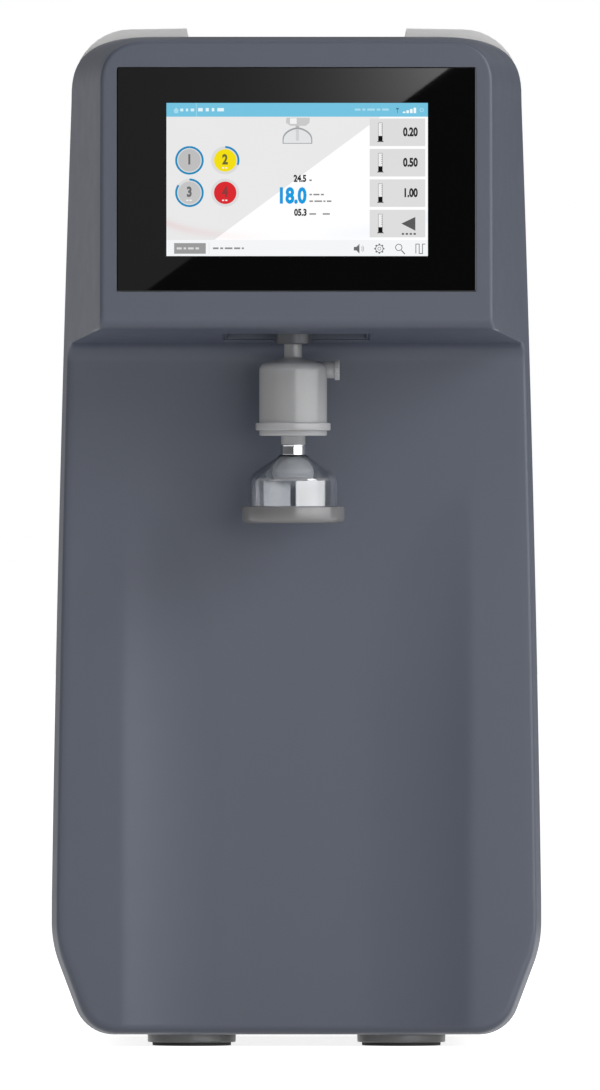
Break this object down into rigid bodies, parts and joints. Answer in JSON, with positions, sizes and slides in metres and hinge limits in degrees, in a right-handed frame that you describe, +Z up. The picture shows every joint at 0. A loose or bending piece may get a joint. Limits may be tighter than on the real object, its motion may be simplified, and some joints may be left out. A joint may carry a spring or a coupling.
{
  "type": "ultrapure water system",
  "caption": "Bench-top ultrapure water unit: slate head with touch screen over a dished front, dispensing capsule with clear bell, light hinged rear covers, round feet.",
  "frame": {"origin": "centre of the whole unit's footprint, on the bench surface", "axes": "+Z up, front with the screen towards -Y, +X to the right as seen from the front"},
  "size_m": [0.2906, 0.48, 0.6041],
  "materials": {
    "slate_shell": "satin",
    "screen_glass": "polished",
    "black_seal": "matte",
    "lit_display": "polished",
    "circuit_board": "satin",
    "bright_steel": "satin",
    "dark_plastic": "satin",
    "capsule_plastic": "satin",
    "membrane": "matte",
    "chrome_ring": "polished",
    "clear_bell": "polished",
    "core_plastic": "satin",
    "smoked_band": "satin",
    "white_plastic": "satin",
    "black_plastic": "satin",
    "light_cover": "satin",
    "chassis_sheet": "satin",
    "foot_cup": "satin",
    "foot_rubber": "matte",
    "blue_cartridge": "satin",
    "deep_blue_cartridge": "satin",
    "reactor_steel": "polished",
    "lamp_glass": "polished",
    "cable_grey": "satin",
    "tube_plastic": "satin",
    "blue_collet": "satin",
    "red_collet": "satin"
  },
  "bodies": {
    "cabinet": {"front_shell": "slate_shell", "touch_glass": "screen_glass", "glass_gasket": "black_seal", "display_panel": "lit_display", "control_board": "circuit_board", "board_screws": "bright_steel", "nozzle_pocket": "dark_plastic", "nozzle_collar": "dark_plastic", "dispense_valve": "white_plastic", "valve_coil": "black_plastic", "front_bulkhead": "black_plastic", "case_screws": "bright_steel", "base_tub": "light_cover", "centre_frame": "chassis_sheet", "top_panel": "light_cover", "rear_panel": "light_cover", "hinge_posts": "bright_steel", "cover_catches": "black_plastic", "foot_cups": "foot_cup", "foot_pads": "foot_rubber", "foot_screws": "bright_steel", "cartridge_manifold": "white_plastic", "uv_reactor": "reactor_steel", "uv_caps": "black_plastic", "uv_lamp": "lamp_glass", "ultrafilter": "white_plastic", "pipe_clips": "black_plastic", "pump_head": "black_plastic", "pump_motor": "reactor_steel", "pump_cradle": "foot_rubber", "resistivity_cell": "reactor_steel", "flow_sensor": "black_plastic", "power_supply": "chassis_sheet", "main_board": "circuit_board", "ribbon_cable": "cable_grey", "feed_tubes": "tube_plastic", "loop_tubes": "tube_plastic", "dispense_tubes": "tube_plastic", "bulkhead_fittings": "white_plastic", "power_inlet": "black_plastic", "fan_frame": "black_plastic", "fan_guard": "bright_steel"},
    "right_cover": {"right_cover": "light_cover"},
    "left_cover": {"left_cover": "light_cover"},
    "pretreatment": {"pretreatment_cartridge": "blue_cartridge"},
    "polishing": {"polishing_cartridge": "deep_blue_cartridge"},
    "capsule": {"filter_capsule": "capsule_plastic", "capsule_membrane": "membrane", "outlet_ring": "chrome_ring", "dispense_bell": "clear_bell", "bell_core": "core_plastic", "bell_band": "smoked_band"},
    "vent": {"vent_knob": "capsule_plastic"},
    "plunger": {"valve_plunger": "bright_steel"},
    "pump_shaft": {"pump_rotor": "reactor_steel"},
    "fan": {"fan_rotor": "black_plastic"},
    "feed_release": {"feed_collet": "blue_collet"},
    "drain_release": {"drain_collet": "red_collet"},
    "rocker": {"rocker_switch": "black_plastic"},
    "fuse_holder": {"fuse_drawer": "black_plastic"}
  },
  "joints": [
    {"name": "right_cover_hinge", "type": "hinge", "parent": "cabinet", "child": "right_cover", "pos_m": [0.12, 0.2185, 0.3], "axis": [0, 0, 1], "range_deg": [0, 100]},
    {"name": "left_cover_hinge", "type": "hinge", "parent": "cabinet", "child": "left_cover", "pos_m": [-0.12, 0.2185, 0.3], "axis": [0, 0, -1], "range_deg": [0, 100]},
    {"name": "pretreatment_turn", "type": "hinge", "parent": "cabinet", "child": "pretreatment", "pos_m": [0.06, -0.058, 0.3], "axis": [0, 0, 1], "range_deg": [0, 60]},
    {"name": "polishing_turn", "type": "hinge", "parent": "cabinet", "child": "polishing", "pos_m": [0.06, 0.06, 0.3], "axis": [0, 0, 1], "range_deg": [0, 60]},
    {"name": "capsule_turn", "type": "hinge", "parent": "cabinet", "child": "capsule", "pos_m": [-0.002, -0.184, 0.4], "axis": [0, 0, 1], "range_deg": [0, 90]},
    {"name": "vent_turn", "type": "hinge", "parent": "capsule", "child": "vent", "pos_m": [0.023, -0.184, 0.401], "axis": [1, 0, 0], "range_deg": [0, 180]},
    {"name": "valve_lift", "type": "slide", "parent": "cabinet", "child": "plunger", "axis": [0, 0, 1], "range_m": [0, 0.003], "stiffness_N_per_m": 300, "springref_m": -0.003},
    {"name": "pump_spin", "type": "hinge", "parent": "cabinet", "child": "pump_shaft", "pos_m": [-0.066, 0, 0.062], "axis": [0, 1, 0], "continuous": true},
    {"name": "fan_spin", "type": "hinge", "parent": "cabinet", "child": "fan", "pos_m": [-0.062, 0.21, 0.47], "axis": [0, 1, 0], "continuous": true},
    {"name": "feed_collet_press", "type": "slide", "parent": "cabinet", "child": "feed_release", "axis": [0, -1, 0], "range_m": [0, 0.0015], "stiffness_N_per_m": 200, "springref_m": -0.002},
    {"name": "drain_collet_press", "type": "slide", "parent": "cabinet", "child": "drain_release", "axis": [0, -1, 0], "range_m": [0, 0.0015], "stiffness_N_per_m": 200, "springref_m": -0.002},
    {"name": "rocker_tilt", "type": "hinge", "parent": "cabinet", "child": "rocker", "pos_m": [-0.06, 0.2198, 0.1265], "axis": [1, 0, 0], "range_deg": [0, 24]},
    {"name": "fuse_drawer_pull", "type": "slide", "parent": "cabinet", "child": "fuse_holder", "axis": [0, 1, 0], "range_m": [0, 0.014]}
  ]
}
